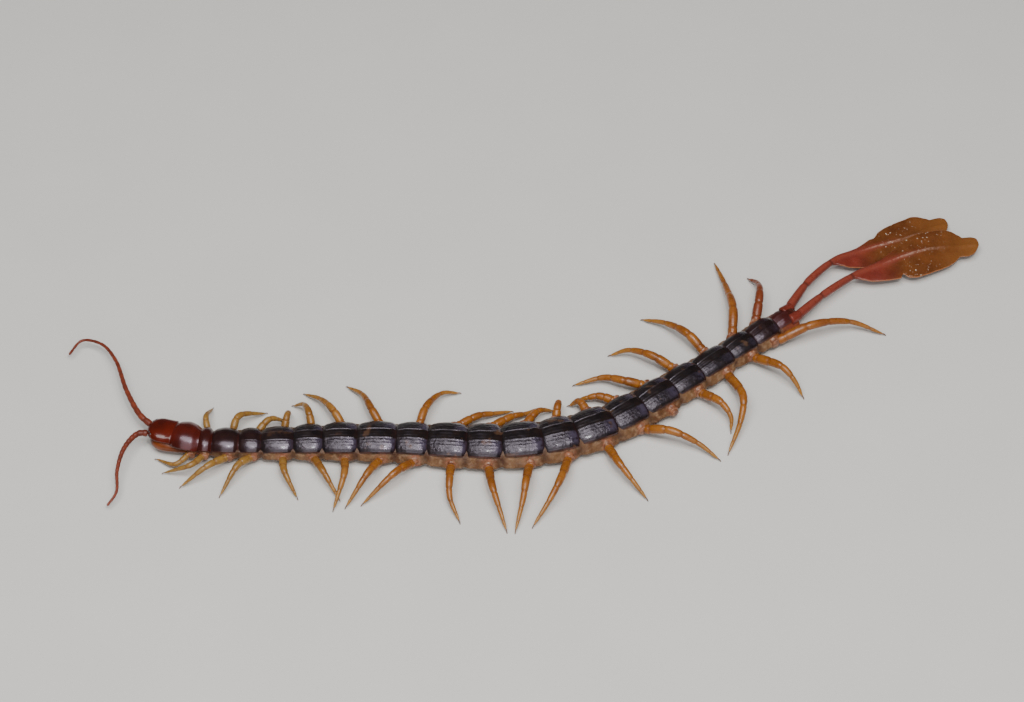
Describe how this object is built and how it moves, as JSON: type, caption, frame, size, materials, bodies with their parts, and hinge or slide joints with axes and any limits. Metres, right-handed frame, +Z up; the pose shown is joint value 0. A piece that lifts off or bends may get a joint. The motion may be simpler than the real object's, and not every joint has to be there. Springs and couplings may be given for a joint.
{
  "type": "feather-tail giant centipede",
  "caption": "Life-size still model of a walking giant centipede: jointed trunk with ridged back plates, long feelers, slender legs and leaf-shaped last legs.",
  "frame": {"origin": "on the floor under the middle of the model's box, the floor being z = 0", "axes": "+X from the head towards the leaf-shaped last legs, +Y towards the animal's right side, +Z up"},
  "size_m": [0.1278, 0.0558, 0.004],
  "materials": {
    "head_plate": "polished deep red cuticle",
    "trunk_plate": "glossy black-brown cuticle with a blue-violet sheen on the flanks",
    "walking_leg": "satin amber cuticle, yellower at the tips",
    "feeler": "fine-haired red-brown cuticle",
    "poison_claw": "polished orange-red cuticle with a black tip",
    "leaf_leg": "satin olive-amber leaf with a red midrib"
  },
  "bodies": {
    "root": {"head": "head_plate", "antenna_left": "feeler", "antenna_right": "feeler", "forcipule_left": "poison_claw", "forcipule_right": "poison_claw", "trunk_01_02": "trunk_plate", "trunk_03_04": "trunk_plate", "trunk_05_06": "trunk_plate", "trunk_07_08": "trunk_plate", "trunk_09_10": "trunk_plate", "trunk_11_12": "trunk_plate", "trunk_13_14": "trunk_plate", "trunk_15_16": "trunk_plate", "trunk_17_18": "trunk_plate", "trunk_19_20": "trunk_plate", "trunk_21": "trunk_plate", "leg_left_01": "walking_leg", "leg_left_02": "walking_leg", "leg_left_03": "walking_leg", "leg_left_04": "walking_leg", "leg_left_05": "walking_leg", "leg_left_06": "walking_leg", "leg_left_07": "walking_leg", "leg_left_08": "walking_leg", "leg_left_09": "walking_leg", "leg_left_10": "walking_leg", "leg_left_11": "walking_leg", "leg_left_12": "walking_leg", "leg_left_13": "walking_leg", "leg_left_14": "walking_leg", "leg_left_15": "walking_leg", "leg_left_16": "walking_leg", "leg_left_17": "walking_leg", "leg_left_18": "walking_leg", "leg_left_19": "walking_leg", "leg_left_20": "walking_leg", "leg_right_01": "walking_leg", "leg_right_02": "walking_leg", "leg_right_03": "walking_leg", "leg_right_04": "walking_leg", "leg_right_05": "walking_leg", "leg_right_06": "walking_leg", "leg_right_07": "walking_leg", "leg_right_08": "walking_leg", "leg_right_09": "walking_leg", "leg_right_10": "walking_leg", "leg_right_11": "walking_leg", "leg_right_12": "walking_leg", "leg_right_13": "walking_leg", "leg_right_14": "walking_leg", "leg_right_15": "walking_leg", "leg_right_16": "walking_leg", "leg_right_17": "walking_leg", "leg_right_18": "walking_leg", "leg_right_19": "walking_leg", "leg_right_20": "walking_leg", "last_leg_left": "leaf_leg", "last_leg_right": "leaf_leg"}
  },
  "joints": []
}
